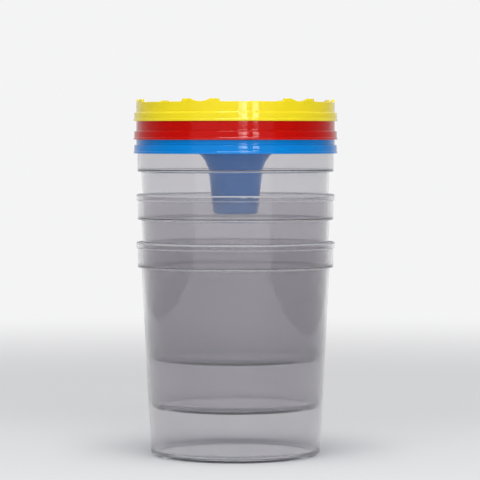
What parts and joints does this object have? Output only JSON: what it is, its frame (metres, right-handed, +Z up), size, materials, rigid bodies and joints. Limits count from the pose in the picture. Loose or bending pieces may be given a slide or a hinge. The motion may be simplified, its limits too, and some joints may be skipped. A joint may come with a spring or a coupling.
{
  "type": "paint cup with lid",
  "caption": "Nested clear tapered paint cups under stacked non-spill lids, each lid a dish with brush rests round its crown and a central well.",
  "frame": {"origin": "centre of the lowest cup's foot, on the surface that it stands on", "axes": "+Z up along the common axis of the cups and lids; -Y towards the viewer of the picture, +X to its right"},
  "size_m": [0.082, 0.082, 0.1428],
  "materials": {
    "clear_cup": "clear, glossy, thin-walled injection moulding",
    "blue_lid": "glossy moulded polypropylene, blue",
    "red_lid": "glossy moulded polypropylene, red",
    "yellow_lid": "glossy moulded polypropylene, yellow"
  },
  "bodies": {
    "lower_cup": {"lower_cup": "clear_cup"},
    "middle_cup": {"middle_cup": "clear_cup"},
    "upper_cup": {"upper_cup": "clear_cup"},
    "blue_lid": {"blue_lid": "blue_lid"},
    "red_lid": {"red_lid": "red_lid"},
    "yellow_lid": {"yellow_lid": "yellow_lid"}
  },
  "joints": [
    {"name": "middle_cup_lift", "type": "slide", "parent": "lower_cup", "child": "middle_cup", "axis": [0, 0, 1], "range_m": [0, 0.072]},
    {"name": "upper_cup_lift", "type": "slide", "parent": "middle_cup", "child": "upper_cup", "axis": [0, 0, 1], "range_m": [0, 0.072]},
    {"name": "blue_lid_lift", "type": "slide", "parent": "upper_cup", "child": "blue_lid", "axis": [0, 0, 1], "range_m": [0, 0.032]},
    {"name": "red_lid_lift", "type": "slide", "parent": "blue_lid", "child": "red_lid", "axis": [0, 0, 1], "range_m": [0, 0.032]},
    {"name": "yellow_lid_lift", "type": "slide", "parent": "red_lid", "child": "yellow_lid", "axis": [0, 0, 1], "range_m": [-0.0019, 0.032]}
  ]
}
